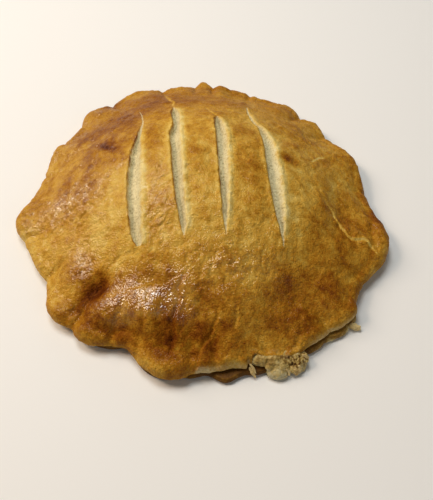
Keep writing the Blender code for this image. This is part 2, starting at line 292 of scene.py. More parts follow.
# (x, y, z, half-length, half-width, half-height, size of its unevenness, amount of it)
CHEESE_LUMPS = (
    (28, -61.5, 4.2, 9, 8.5, 2.2, 3, 0.05), (29, -65.4, 0.4, 5.2, 7.3, 5.6, 4, 0.05),
    (28, -70.6, 1.5, 3.9, 3, 2.6, 2.8, 0.06), (25, -69.6, 3.6, 1.3, 1.5, 1.7, 1.6, 0.14),
    (22, -67, 4.3, 3.7, 2.7, 2.4, 3, 0.1), (26.4, -67.2, 4.4, 3.8, 2.7, 2, 2, 0.12),
    (34.4, -65.6, 0.6, 4.3, 5.6, 4.9, 2.2, 0.1), (33.4, -70, 2.2, 1.9, 1.6, 1.8, 1.2, 0.14),
    (37, -66.2, 3, 2, 2, 2, 1.3, 0.14))
LUMP_REST = 0.3  # the lumps are flat where they lie on the tray
LUMP_RELIEF = ((3.2, 0.22), (1.5, 0.14), (0.75, 0.12))
# Where the cheese has changed: (x, y, z, reach, toasted, curdled)
CHEESE_TONES = (
    (21.6, -68.2, 5.8, 2.8, 0.55, 0.1), (25.6, -69.4, 5, 2.4, 0.4, 0.2), (29, -67, 6.4, 4, 0.55, 0.2),
    (34.6, -68.4, 4.6, 3.8, 0.6, 1), (37.4, -66, 3.4, 2.8, 0.3, 0.6))


def cheese_height(from_middle, lift):
    """The lens's upper side: its edge plus its rise times (1 - s^2)^0.95 of the radius share s."""
    share = np.clip(from_middle / CHEESE_RADIUS, 0, 1)
    edge = CHEESE_FLOOR + CHEESE_EDGE + lift
    return edge + (CHEESE_TOP + lift - edge) * (1 - share ** 2) ** CHEESE_POWER


def lens_points():
    """A foot ring, then rings over the lens with equal areas between them, then both poles."""
    turn = np.arange(CHEESE_ANGLES) * 2 * np.pi / CHEESE_ANGLES
    radius = CHEESE_RADIUS * np.sqrt(np.linspace(1, 0.004, CHEESE_RINGS))
    height = cheese_height(radius, 0)
    radius = np.insert(radius, 0, CHEESE_RADIUS)[:, None]
    height = np.insert(height, 0, CHEESE_FLOOR)[:, None] + 0 * turn
    poles = [[0, 0, CHEESE_FLOOR], [0, 0, CHEESE_TOP]]
    return np.vstack([round_points(radius, turn, height), poles])


def lump_points(lump):
    """An ellipsoid whose radius is scaled by one plus noise at each point, cut flat at its foot."""
    x, y, z, half_length, half_width, half_height, size, amount = lump
    turn = np.arange(LUMP_TURNS) * 2 * np.pi / LUMP_TURNS
    tilt = np.radians(np.linspace(-87, 87, LUMP_TILTS))[:, None]
    ball = round_points(np.cos(tilt), turn, np.sin(tilt) + 0 * turn)
    ball = np.vstack([ball, [[0, 0, -1], [0, 0, 1]]]) * (half_length, half_width, half_height)
    middle = np.array([x, y, z])
    points = middle + ball * (1 + amount * unevenness(ball + middle, size, 31))[:, None]
    points[:, 2] = np.maximum(points[:, 2], LUMP_REST)
    return points


def apply_steps(piece):
    """Puts what the piece's modifiers give in place of its mesh."""
    depsgraph = bpy.context.evaluated_depsgraph_get()
    made = bpy.data.meshes.new_from_object(piece.evaluated_get(depsgraph), depsgraph=depsgraph)
    piece.modifiers.clear()
    piece.data = made


def read_points(piece, name, scale):
    """One three-number value of all the piece's points, such as co, divided by the scale."""
    values = np.empty(3 * len(piece.data.vertices))
    piece.data.vertices.foreach_get(name, values)
    return values.reshape(-1, 3) / scale


def melted_lumps():
    """All lumps as one skin, remade on a fine grid, and pushed out along its normals by noise."""
    shells = [lump_points(lump) for lump in CHEESE_LUMPS]
    lumps = add_piece("run_out_cheese", *joined(shells, LUMP_TILTS, LUMP_TURNS), {})
    melt = lumps.modifiers.new("melt", 'REMESH')
    melt.voxel_size = LUMP_VOXEL * MM
    apply_steps(lumps)
    points = read_points(lumps, "co", MM)
    points += read_points(lumps, "normal", 1) * layered_noise(points, LUMP_RELIEF, 33)[:, None]
    lumps.data.vertices.foreach_set("co", (points * MM).ravel())
    return lumps


def spread_tones(piece, spots, names):
    """Sets one attribute for each name: the sum over the spots of amount times e^-(d/reach)^2."""
    points = read_points(piece, "co", MM)
    total = 0
    for x, y, z, reach, *amounts in spots:
        away = np.sum((points - (x, y, z)) ** 2, axis=1)
        total = total + np.outer(amounts, np.exp(-away / reach ** 2))
    for name, values in zip(names, np.clip(total, 0, 1)):
        piece.data.attributes.new(name, 'FLOAT', 'POINT').data.foreach_set("value", values)


# Moist cooked cheese: greyish cream, a little see-through, with a soft wet shine.
CHEESE_STOPS = ((0, "C4B88E"), (0.35, "C2A968"), (0.62, "A38544"), (0.85, "785826"), (1, "442B0E"))
CHEESE_GRAIN = ((2.2, 0.8),)  # (size, amount)
cheese_finish, add, space = start_finish(
    "moist_white_cheese", IOR=1.45, Specular_IOR_Level=0.25, Roughness=0.35, Subsurface_Weight=0.15,
    Subsurface_Scale=1.5 * MM, Subsurface_Radius=(1, 0.7, 0.4))
toasted, curdled = (add('Attribute', output="Fac", attribute_name=name)
                    for name in ("toasted", "curdled"))
blotch = mottled(add, space, toasted, CHEESE_GRAIN)
blotch = add('Math', {0: blotch, 1: 0.36}, operation='SUBTRACT')
curds = add('TexNoise', {"Vector": space, "Scale": 1 / 0.9, "Detail": 3})
curds = add('Math', {0: curds, 1: 0.5}, operation='SUBTRACT')
weight = add('Math', {0: curdled, 1: 2.2, 2: 0.5}, operation='MULTIPLY_ADD')
grain = add('Math', {0: curds, 1: weight, 2: blotch}, operation='MULTIPLY_ADD')
add('ValToRGB', {0: grain}, stops=CHEESE_STOPS, into="Base Color")
add('Bump', {"Height": curds, "Distance": 0.7 * MM, "Strength": 0.7}, into="Normal")

cheese = add_piece("white_cheese", lens_points(), closed_faces(CHEESE_RINGS + 1, CHEESE_ANGLES), {})
lumps = melted_lumps()
union = cheese.modifiers.new("run_out", 'BOOLEAN')
union.operation = 'UNION'
union.solver = 'EXACT'
union.object = lumps
apply_steps(cheese)
bpy.data.objects.remove(lumps, do_unlink=True)
spread_tones(cheese, CHEESE_TONES, ("toasted", "curdled"))
cheese.data.materials.append(cheese_finish)
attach(cheese, "root")
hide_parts("cheese_filling")

# -------- lid
# The lid is a round of puff pastry laid over the cheese, pinched down round the rim into lobes,
# slashed four times with a knife, brushed with egg, and baked until it blistered and browned.
DOME_HEIGHT = 34
DOME_POWER = 1.15
DOME_INSET = 1
RIM_LOW = 5.8  # height of the rim's crest at a pinch
RIM_HIGH = 9.2  # and on a full lobe
LID_FOOT = 2.75  # the rim is pressed down almost on to the bottom sheet
NOSE_DEPTH = 4.2  # how far in from the edge the rounded nose begins
NOSE_WIDEST = 0.22  # share of the edge's height at which it reaches furthest out
LOBE_SPREAD = 1.1
LOBE_INNER_REACH = 17
FOLD_FADE = 4
CAVITY_GAP = 0.45
# (angle, reach beyond the plain outline, half-width, fullness from 0 to 1)
RIM_LOBES = (
    (-16, 6, 18, 1), (19, 2.5, 13, 0.9), (41, 1.9, 6.5, 0.45), (54, 2.2, 7, 0.6), (82, 0.4, 5, 0.6),
    (89.5, 4.4, 5.5, 0.45), (98, 0.9, 9, 0.5), (116, 3.1, 13, 0.85), (134, 3.2, 10, 1), (147, -1.6, 9, 0),
    (156, 1.2, 8, 0.7), (187, 7.4, 14, 0.8), (201, 2.6, 13, 0.45), (223.5, 5.8, 13.5, 0.75),
    (236, 4, 8.5, 0.9), (248.5, -2.5, 6, 0), (260, 3.5, 11.5, 1), (272, -1, 5.5, 0.3),
    (279.5, -1.5, 7.5, 0.5), (304, 0.4, 10, 0.4), (317, 3, 12, 0.7), (324.5, -1.4, 6, 0.3))
# Broad folds: (x, y, half-length, half-width, height, direction), hollows are negative
LID_FOLDS = (
    (-20.5, -55, 13, 7.4, 4.8, -12), (-35.6, -43.8, 4.3, 3.4, -3, 50), (-45, -37, 8, 4.5, 1.9, -68),
    (-24, -62.4, 16, 3, -1.8, -14), (-10.5, -60, 7, 3, -1.3, 100), (-3, -50.5, 7, 3.5, 1.2, 95),
    (33, -48, 9, 7, -1.3, 30), (55, -11, 9, 5, -1.6, 100), (60, -19, 9, 3, 1.5, -35),
    (-54, -9, 11, 5, 1.2, 160), (-38.5, 17, 9, 2.8, -1, -50), (16, -52, 9, 8, 0.9, 60))
# The cut front edge, which is upright and unglazed: (begins, full, still full, ends)
CUT_ANGLES = (268.4, 270.4, 284.5, 287)
CUT_NOSE_DEPTH = 2.8
# The torn spot: where the edge is cut back, and where its underside is broken away
TEAR_LINE = 67
TEAR_BACK = (283, 287, 297.5, 301.5)
TEAR_OPEN = (284.8, 287.4, 297, 300.8)
TEAR_NOSE_DEPTH = 1.3
TEAR_EDGE = 1.2  # thickness of the lid's broken edge
TEAR_NOTCH = (0.5, 2.9)  # the edge steps to and fro by this angle, at this rate
TEAR_RAGGED = ((1.6, 0.7), (0.7, 0.4))


def stretch_share(angle, corners, notch=0):
    """1 on a stretch of the rim and 0 off it, with a smooth change at each end. The notch moves
    the ends to and fro by a sine of the angle."""
    begins, full, still, ends = corners
    angle = angle % 360
    angle = angle + notch * np.sin(TEAR_NOTCH[1] * angle)
    return rise(angle, begins, full) * (1 - rise(angle, still, ends))


def lid_radius(angle):
    """The plain oval, plus a hump for each lobe, cut back to the line of the tear."""
    radius = with_lobes(oval_radius(angle), angle, RIM_LOBES)
    towards_front = np.maximum(-np.sin(np.radians(angle)), 0.2)
    surplus = np.maximum(radius - TEAR_LINE / towards_front, 0)
    return radius - stretch_share(angle, TEAR_BACK, TEAR_NOTCH[0]) * surplus


def lobe_fullness(angle):
    """How full the rim is: the highest of the lobes' humps, from 0 at a pinch to 1."""
    full = np.zeros_like(angle)
    for middle, _, half_width, fullness in RIM_LOBES:
        full = np.maximum(full, fullness * bump(turn_between(angle, middle), half_width * LOBE_SPREAD))
    return full


def nose_depth(angle):
    """How far in from the edge the nose begins, less where the rim was cut and where it is torn."""
    depth = NOSE_DEPTH + (CUT_NOSE_DEPTH - NOSE_DEPTH) * stretch_share(angle, CUT_ANGLES)
    return depth + (TEAR_NOSE_DEPTH - depth) * stretch_share(angle, TEAR_BACK)


def oval_hills(x, y, spots):
    """The sum of spots, each its amount times e^-(u^2 + v^2), where u and v are the shares of its
    half-length and half-width. A spot without a direction lies along X."""
    total = np.zeros_like(x)
    for spot_x, spot_y, half_length, half_width, amount, *heading in spots:
        turn = np.radians(sum(heading))
        along = (x - spot_x) * np.cos(turn) + (y - spot_y) * np.sin(turn)
        across = (y - spot_y) * np.cos(turn) - (x - spot_x) * np.sin(turn)
        total = total + amount * np.exp(-(along / half_length) ** 2 - (across / half_width) ** 2)
    return total


def lid_height(x, y):
    """Dome plus rim plus folds. The dome is its edge plus its rise times (1 - s^2)^1.15 of the
    radius share s, each lobe swells the outer 17 mm by half a cosine, and the folds fade at the
    crest of the rim."""
    angle = np.degrees(np.arctan2(y, x))
    from_middle = np.hypot(x, y)
    crest_radius = lid_radius(angle) - nose_depth(angle)
    share = np.clip(from_middle / (oval_radius(angle) - DOME_INSET), 0, 1)
    dome = RIM_LOW + (DOME_HEIGHT - RIM_LOW) * (1 - share ** 2) ** DOME_POWER
    outward = np.clip((crest_radius - from_middle) / LOBE_INNER_REACH, 0, 1)
    swelling = (RIM_HIGH - RIM_LOW) * lobe_fullness(angle) * bump(outward, 1)
    fade = np.clip((crest_radius - from_middle) / FOLD_FADE, 0, 1)
    return dome + swelling + oval_hills(x, y, LID_FOLDS) * fade


# Slashes: depth and painted shade of the crevice at the left edge, then (y, left x, right x) from far
# to near
SLASHES = (
    (0.9, (38.5, -25.8, -25.5), (31.5, -24, -23.3), (25.8, -23.3, -22.3), (20.9, -23.8, -22.3),
     (15.5, -24.5, -22.5), (8.6, -25.7, -21.6), (0, -26.2, -20.9), (-11, -26.1, -20.2),
     (-22, -24.8, -19.6), (-27.4, -23.9, -19.4), (-30.5, -22.9, -19.3), (-32.8, -20.9, -19.5)),
    (0.8, (37.2, -11.2, -10.8), (31.1, -11.5, -8.2), (20.3, -10.4, -7.2), (15.3, -11.3, -6.9),
     (8.2, -10.6, -6.4), (-7.5, -9.1, -5.1), (-16.4, -7.9, -4.4), (-24.5, -6.4, -3.8),
     (-27.5, -5.7, -3.6), (-31, -4.9, -4.3)),
    (1, (26.8, 6.5, 7.1), (21.5, 6, 9.5), (15.4, 6.5, 10.9), (2.8, 7.2, 11.5), (-7.4, 7.8, 11.6),
     (-16.3, 8.4, 11.3), (-24.4, 9.2, 10.9), (-31, 10, 10.4)),
    (0.5, (42.1, 19.1, 19.9), (32.7, 19.7, 21), (26.5, 21.1, 22.9), (22.5, 23.2, 26), (17, 24.4, 28.8),
     (6.2, 25.2, 30.5), (-4, 25.8, 31.3), (-15, 27.1, 31.7), (-23.9, 28.8, 31.4), (-29, 30, 31),
     (-32.5, 30.5, 30.8)))
SLASH_DEPTH = 2.9
SLASH_SHALLOW = 0.35  # depth where a slash is no more than a scratch
SLASH_FULL = (0.25, 1.5)  # half-widths at which it begins to deepen, and is deepest
SLASH_END = 0.7  # length over which it begins and ends
SLASH_LEAST = 0.12  # least half-width
SLASH_WANDER = ((3.5, 0.22), (1.3, 0.14))
SLASH_LIP = 0.45  # the cut edges have puffed up by this much
CREVICE_WIDTH = 0.45
CREVICE_DEPTH = 0.5
SLASH_GATHER = 0.42  # share by which the mesh is drawn together round a slash
SLASH_GATHER_REACH = 3.8
LEAST_WALL = 0.55  # dough left between a slash's floor and the cheese room


def curve_through(value, places, levels):
    """A smooth curve through the levels at rising places. Each stretch is a cubic, whose slope
    where two stretches meet is the mean of theirs."""
    slopes = np.gradient(levels, places)
    step = np.clip(np.searchsorted(places, value) - 1, 0, len(places) - 2)
    width = np.diff(places)[step]
    t = np.clip((value - places[step]) / width, 0, 1)
    start = levels[step] * (1 + 2 * t) + slopes[step] * width * t
    end = levels[step + 1] * (3 - 2 * t) - slopes[step + 1] * width * (1 - t)
    return start * (1 - t) ** 2 + end * t ** 2


def slash_edges(y, rows):
    """The middle of a slash, half its width, and 1 within its length, fading at both ends."""
    place, left, right = np.transpose(rows)
    left, right = curve_through(-y, -place, left), curve_through(-y, -place, right)
    begun = rise(-y, -place[0], SLASH_END - place[0])
    within = begun * (1 - rise(-y, -place[-1] - SLASH_END, -place[-1]))
    return 0.5 * (left + right), np.maximum(0.5 * (right - left), SLASH_LEAST), within


def gather_at_slashes(x, y):
    """Draws points closer to each slash: the offset s from it loses 0.42 s e^-(s/3.8)^2."""
    for _, *rows in SLASHES:
        middle, _, _ = slash_edges(y, rows)
        far, near = rows[0][0], rows[-1][0]
        beyond = np.maximum(np.abs(y - 0.5 * (far + near)) - 0.5 * (far - near), 0)
        offset = x - middle
        pull = np.exp(-(offset / SLASH_GATHER_REACH) ** 2 - (0.5 * beyond) ** 2)
        x = x - SLASH_GATHER * offset * pull
    return x


def slash_relief(x, y):
    """Depth, rawness, crevice shade, grey foot and pale halo of the slashes. The crevice shade is
    painted shade, and the grey foot is the floor's own grey with painted shade from the wall. Across
    a cut, q runs from -1, a steep wall with a crevice at its foot, over a floor that climbs in a soft
    curve, to 1. A puffed lip lies outside both, and paler crust beyond, mostly on the right."""
    depth, raw, shade, grey_and_shade, halo = np.zeros((5, len(x)))
    flat = np.stack([x, y, 0 * x], axis=1)
    wander = layered_noise(flat, SLASH_WANDER, 51)
    soft = 0.2 * unevenness(flat, 2.2, 53)
    patchy = rise(unevenness(flat, 6, 54), -0.45, 0.3)
    cloudy = rise(unevenness(flat, 4, 55), -0.5, 0.4)
    for darkness, *rows in SLASHES:
        middle, half, within = slash_edges(y, rows)
        offset = x - middle + wander * np.minimum(half, 1)
        q = offset / half
        floor = within * (SLASH_SHALLOW + (SLASH_DEPTH - SLASH_SHALLOW) * rise(half, *SLASH_FULL))
        wall = rise(q, -1.05, -0.75)
        slope = 1 - rise(q, -0.25, 1.15)
        crevice = within * darkness * (0.3 + 0.7 * patchy) * rise(half, 0.4, 1.4)
        crevice = crevice * np.exp(-((q + 0.92) * half / CREVICE_WIDTH) ** 2)
        reach = np.maximum(np.abs(offset) - half, 0)
        lip = within * np.exp(-(reach / 1.1) ** 2) * rise(half, 0.2, 1.2)
        depth += floor * wall * slope + CREVICE_DEPTH * crevice - SLASH_LIP * lip * (1 - wall * slope)
        bare = rise(q + 0.5 * soft, -1.1, -0.75) * (1 - rise(q + soft, -0.1, 1.45))
        raw = np.maximum(raw, within * bare * (0.55 + 0.45 * rise(half, 0.3, 1.2)))
        # Painted shade: the crevice at the foot of the left wall is kept to darken the crust.
        shade = np.maximum(shade, crevice)
        # Partly painted shade: the floor's foot by the left wall is greyed, its own grey and the wall's
        # shadow.
        foot = within * rise(half, 0.4, 1.8) * np.exp(-((q + 0.75) * half / 1.1) ** 2)
        grey_and_shade = np.maximum(grey_and_shade, foot * (0.5 + 0.5 * patchy))
        pale = np.where(q > 0, 0.42 * np.exp(-(reach / 1.7) ** 2), 0.16 * np.exp(-(reach / 1.6) ** 2))
        halo = np.maximum(halo, pale * within * rise(half, 0.15, 1.3) * (0.6 + 0.4 * cloudy))
    return depth, raw, shade, grey_and_shade, halo


# Creases: (width, groove, step up on its +X side, browning in it, points from far to near). A
# positive browning darkens the groove, partly as painted shade; a negative one is a pale line.
CREASES = (
    (0.8, 0.6, 0.9, 0.1, ((-4.5, -43.5), (-5.9, -49.4), (-6.7, -53.8), (-8.2, -58.8), (-8, -62.7),
     (-8.5, -68))),
    (0.7, 0.45, 0.8, -0.06, ((8.1, -53), (6.5, -58.8), (4.5, -62.5), (1.9, -65.9), (1.1, -68.9),
     (-0.6, -72.5))), (0.6, 0.3, 0.3, -0.2, ((14.2, -53), (14, -56), (13.6, -60))),
    (0.5, 0.3, 0.4, 0.08, ((-18.6, -33.2), (-22.5, -34.4), (-26.6, -35.1), (-30.3, -36.8), (-33.6, -40))),
    (1.5, 0.45, 0.35, 0.08, ((-38, -43), (-43, -50), (-48.5, -55))),
    (0.6, 0.2, 0.2, -0.3, ((-17, 60), (-14.5, 50), (-11.3, 42), (-11, 36))),
    (0.5, 0.2, 0.15, -0.2, ((2.5, 36), (4.5, 30), (6.6, 26))),
    (0.45, 0.15, 0.1, -0.5, ((44, 10.7), (47.4, 14.1), (50.9, 17.1))),
    (0.6, 0.25, 0.45, -0.45, ((48.5, -8), (51.4, -12.5), (53.5, -17), (57, -21), (62.5, -21.6),
     (65.7, -23.6), (68.8, -27))), (0.7, 0.15, 0.2, -0.05, ((43, 4), (46, -3), (51, -10))),
    (0.8, 0.2, -0.25, -0.1, ((59, 7), (62.5, 2), (66, -4))),
    (1.2, 0.35, 0.2, 0.12, ((-42.5, 21), (-37, 15.5), (-32, 11.5))),
    (0.7, 0.3, 0.4, -0.1, ((-50, -31), (-52, -38), (-54.5, -43))),
    (0.8, 0.3, 0.35, 0.06, ((-60, -23), (-57, -33), (-53, -40))),
    (1.3, 0.25, 0.1, 0.04, ((-25, -44.6), (-17, -45.8), (-10, -45))),
    (0.5, 0.22, 0.22, -0.1, ((11, -37.5), (14.5, -39.5), (18, -38.5))),
    (0.5, 0.22, 0.22, 0.1, ((11.5, -40.5), (15, -42.5), (18.5, -41.5))),
    (0.5, 0.24, 0.22, -0.06, ((6, -46), (11.5, -45.5), (17, -46.5))),
    (0.5, 0.22, 0.22, -0.16, ((27, -32), (23, -34.5), (22.8, -37.5), (23.5, -41))),
    (0.4, 0.12, 0.22, -0.16, ((-17.9, -4.2), (-15.8, -3.2), (-13.6, -4.4))),
    (0.4, 0.12, 0.22, -0.14, ((-14.2, -7.6), (-12, -6.6), (-10.3, -7.8))),
    (0.6, 0.25, 0.3, -0.12, ((-16, -64.5), (-9, -66.5), (-3, -66))))
CREASE_WANDER = ((5, 0.9), (1.8, 0.35))
PINCH_REACH = 12  # how far a pinch's crease runs in over the dome
PINCH_WIDTH = 1.4
PINCH_DEPTH = 0.8
# Relief over the whole lid: (size, amount)
LID_RELIEF = ((15, 0.8), (6.5, 0.42), (3, 0.22), (1.4, 0.11))
# Wrinkles in the skin: (spacing, share of the spacing that the groove takes, depth)
WRINKLES = ((7, 0.18, 0.34), (3.4, 0.26, 0.3), (1.8, 0.32, 0.2))
WRINKLE_LEVEL = 0.5
# Where the skin is more or less wrinkled: (x, y, half-length, half-width, amount, direction)
WRINKLE_PATCHES = (
    (-52, -10, 17, 10, 1.7, 10), (-38, -18, 10, 14, 0.5), (10, -41, 16, 7, 0.9), (-43, -37, 6, 7, 1, -65),
    (-14, -16, 5, 14, 0.5, 5), (52, -12, 12, 12, 0.4), (0, 50, 40, 14, -0.2), (-3, -51, 7, 4, 0.6, 95))
BLISTERS = 700
BLISTER_RADIUS = (0.8, 2.8)
BLISTER_HEIGHT = (0.08, 0.32)
NOSE_LAYER = 0.75  # thickness of one layer of dough in the rim's lower half
NOSE_LAYER_RELIEF = 0.12


def crease_relief(x, y):
    """Height and browning of the creases; the darkening in a groove is partly painted shade. For the
    signed distance s from a crease and its width w the height is -groove e^-(s/w)^2 + step (s/w)
    e^(0.5 - (s/w)^2), fading at both ends."""
    height, brown_and_shade = np.zeros((2, len(x)))
    flat = np.stack([x, y, 0 * x], axis=1)
    x = x + layered_noise(flat, CREASE_WANDER, 91)
    y = y + layered_noise(flat, CREASE_WANDER, 95)
    for width, groove, step, browning_and_shade, path in CREASES:
        nearest, signed, share = np.full_like(x, 1e9), np.zeros_like(x), np.zeros_like(x)
        for number, (start, end) in enumerate(zip(path[:-1], path[1:])):
            reach_x, reach_y = end[0] - start[0], end[1] - start[1]
            along = (x - start[0]) * reach_x + (y - start[1]) * reach_y
            held = np.clip(along / (reach_x ** 2 + reach_y ** 2), 0, 1)
            away_x, away_y = x - start[0] - held * reach_x, y - start[1] - held * reach_y
            away = np.hypot(away_x, away_y)
            closer = away < nearest
            side = np.sign(reach_x * away_y - reach_y * away_x)
            nearest = np.where(closer, away, nearest)
            signed = np.where(closer, away * side, signed)
            share = np.where(closer, (number + held) / (len(path) - 1), share)
        fade = np.sin(np.pi * share) ** 0.5
        lean = signed / width * np.exp(0.5 - (nearest / width) ** 2)
        height += fade * (step * lean - groove * np.exp(-(nearest / width) ** 2))
        brown_and_shade += fade * browning_and_shade * np.exp(-(nearest / (0.8 * width)) ** 2)
    return height, brown_and_shade


def pinch_relief(angle, inward):
    """Creases between neighbouring lobes, each a hollow across the angle that fades inwards."""
    middles = np.array([lobe[0] % 360 for lobe in RIM_LOBES])
    widths = np.array([lobe[2] for lobe in RIM_LOBES])
    gaps = (np.roll(middles, -1) - middles) % 360
    pinches = middles + gaps * widths / (widths + np.roll(widths, -1))
    across = [np.radians(turn_between(angle, pinch)) * OVAL_RADIUS for pinch in pinches]
    hollow = sum(np.exp(-(each / PINCH_WIDTH) ** 2) for each in across)
    return PINCH_DEPTH * hollow * (1 - rise(inward, 0, PINCH_REACH))


def blister_relief(x, y):
    """Small blisters strewn over the lid by a seeded draw, each a cosine hump to the power 1.3."""
    draw = np.random.default_rng(61)
    height = np.zeros_like(x)
    for _ in range(BLISTERS):
        radius = OVAL_RADIUS * np.sqrt(draw.random())
        turn = 2 * np.pi * draw.random()
        size = BLISTER_RADIUS[0] + (BLISTER_RADIUS[1] - BLISTER_RADIUS[0]) * draw.random() ** 2.2
        tall = draw.uniform(*BLISTER_HEIGHT)
        away = np.hypot(x - radius * np.cos(turn), y - radius * np.sin(turn))
        near = away < size
        height[near] += tall * bump(away[near], size) ** 1.3
    return height


def swayed_noise(points, size, sway, seed):
    """Noise over points that other noise has first pushed aside by up to the sway."""
    aside = np.stack([unevenness(points, 1.5 * size, seed + axis) for axis in (1, 2, 3)], axis=1)
    return unevenness(points + sway * aside, size, seed)


def wrinkle_relief(points):
    """A net of fine wrinkles: grooves along the lines where swayed noise crosses zero, each
    (1 - |n| / width)^1.5 deep, and deeper where the patches say."""
    strength = WRINKLE_LEVEL + oval_hills(points[:, 0], points[:, 1], WRINKLE_PATCHES)
    strength = np.clip(strength + 0.5 * unevenness(points, 17, 81), 0.05, 2)
    groove = np.zeros(len(points))
    for number, (size, width, depth) in enumerate(WRINKLES):
        noise = np.abs(swayed_noise(points, size, 0.7 * size, 82 + 5 * number))
        groove += depth * np.maximum(1 - noise / width, 0) ** 1.5
    return groove * strength


# The mesh: rings round the middle, of which the last wrap the nose, then rings underneath
LID_RINGS = 150
CREST_RING = 129
ROOF_RINGS = 4


def disc_grid():
    """A square grid laid on a disc: the square ring k becomes the circle k with 8k even points.
    Gives ring number, angle, triangles and the last ring's points in order of angle."""
    steps = np.arange(-LID_RINGS, LID_RINGS + 1)
    i, j = np.meshgrid(steps, steps, indexing='ij')
    ring = np.maximum(np.abs(i), np.abs(j))
    safe = np.maximum(ring, 1)
    sideways = np.abs(i) >= np.abs(j)
    right = 45 * j * np.sign(i) / safe + np.where(i < 0, 180, 0)
    front = 90 * np.sign(j) - 45 * i * np.sign(j) / safe
    angle = np.where(sideways, right, front) % 360
    number = np.arange(steps.size ** 2).reshape(steps.size, -1)
    a, b = number[:-1, :-1].ravel(), number[1:, :-1].ravel()
    c, d = number[1:, 1:].ravel(), number[:-1, 1:].ravel()
    along = ((i[:-1, :-1] + 0.5) * (j[:-1, :-1] + 0.5) > 0).ravel()[:, None]
    first = np.where(along, np.stack([a, b, c], axis=1), np.stack([a, b, d], axis=1))
    second = np.where(along, np.stack([a, c, d], axis=1), np.stack([b, c, d], axis=1))
    rim = number.ravel()[(ring == LID_RINGS).ravel()]
    rim = rim[np.argsort(np.round(angle.ravel()[rim], 6))]
    return ring.ravel(), angle.ravel(), np.vstack([first, second]), rim


def lid_skin(ring, angle):
    """The outer side. Up to the crest ring the radius grows evenly and the height follows the dome;
    beyond it the nose turns from straight up (0) to straight down (pi)."""
    turn = np.radians(angle)
    nose = nose_depth(angle)
    crest_radius = lid_radius(angle) - nose
    over = np.clip(ring / CREST_RING, 0, 1)
    nose_turn = np.pi * np.clip((ring - CREST_RING) / (LID_RINGS - CREST_RING), 0, 1)
    y = crest_radius * over * np.sin(turn)
    x = gather_at_slashes(crest_radius * over * np.cos(turn), y)
    crest = lid_height(x, y)
    torn = stretch_share(angle, TEAR_OPEN, TEAR_NOTCH[0])
    ragged = layered_noise(round_points(40, turn, 0 * turn), TEAR_RAGGED, 71)
    ragged = stretch_share(angle, TEAR_BACK) * ragged
    foot = LID_FOOT + torn * (crest - TEAR_EDGE - LID_FOOT)
    widest = foot + NOSE_WIDEST * (crest - foot)
    half = np.where(nose_turn < 0.5 * np.pi, crest - widest, widest - foot)
    z = np.where(nose_turn > 0, widest + half * np.cos(nose_turn), crest)
    outward = (nose + ragged) * np.sin(nose_turn)
    points = np.stack([x + outward * np.cos(turn), y + outward * np.sin(turn), z], axis=1)
    away = round_points(np.sin(nose_turn), turn, np.cos(nose_turn))
    return points, away, nose_turn, crest_radius * (1 - over)


def lid_detail(points, angle, nose_turn, inward):
    """Relief finer than the lid's form, along the surface's direction, and what the colours follow:
    raw floors, crevices painted as shade, grey feet partly painted as shade, browned creases, what
    stands up."""
    x, y = points[:, 0], points[:, 1]
    upper = 1 - rise(nose_turn, 0.25 * np.pi, 0.75 * np.pi)
    depth, raw, shade, grey_and_shade, halo = slash_relief(x, y)
    fine = layered_noise(points, LID_RELIEF, 41)
    fold, fold_brown_and_shade = crease_relief(x, y)
    blisters = blister_relief(x, y)
    wander = 0.8 * unevenness(points, 5, 46)
    layers = np.sin(2 * np.pi * (points[:, 2] / NOSE_LAYER + wander)) * rise(nose_turn, 1.4, 2.1)
    wrinkles = wrinkle_relief(points)
    relief = (fine + (blisters - wrinkles) * upper) * (1 - 0.75 * raw)
    relief += fold * upper + NOSE_LAYER_RELIEF * layers - depth
    relief -= pinch_relief(angle, inward) * (0.35 + 0.65 * upper)
    standing = fine + 0.8 * blisters - 0.8 * wrinkles
    return relief, raw, shade, grey_and_shade, fold_brown_and_shade * upper - halo, standing


def under_rings(angle):
    """The underside outwards: the cheese room's roof and foot, and a ring half way to the rim."""
    turn = np.radians(angle)
    torn = stretch_share(angle, TEAR_OPEN, TEAR_NOTCH[0])
    sole = LID_FOOT + 0.1 + torn * (RIM_LOW - LID_FOOT + 0.8)
    share = np.sqrt(np.linspace(0.01, 1, ROOF_RINGS))[:, None]
    roof = cheese_height(CHEESE_RADIUS * share, CAVITY_GAP)
    room = CHEESE_RADIUS + CAVITY_GAP
    half_way = 0.5 * (room + lid_radius(angle) - nose_depth(angle))
    radii = np.vstack([CHEESE_RADIUS * share + CAVITY_GAP + 0 * angle, room + 0 * angle, half_way])
    heights = np.vstack([np.maximum(roof, sole + 0.05 * (1 - share)), sole, sole])
    return round_points(radii, turn, heights)


BAKE_LEVEL = 0.14  # to which the pattern's own noise adds 0.36 on average
BAKE_LEAST = -0.36
BAKE_MOST = 0.55
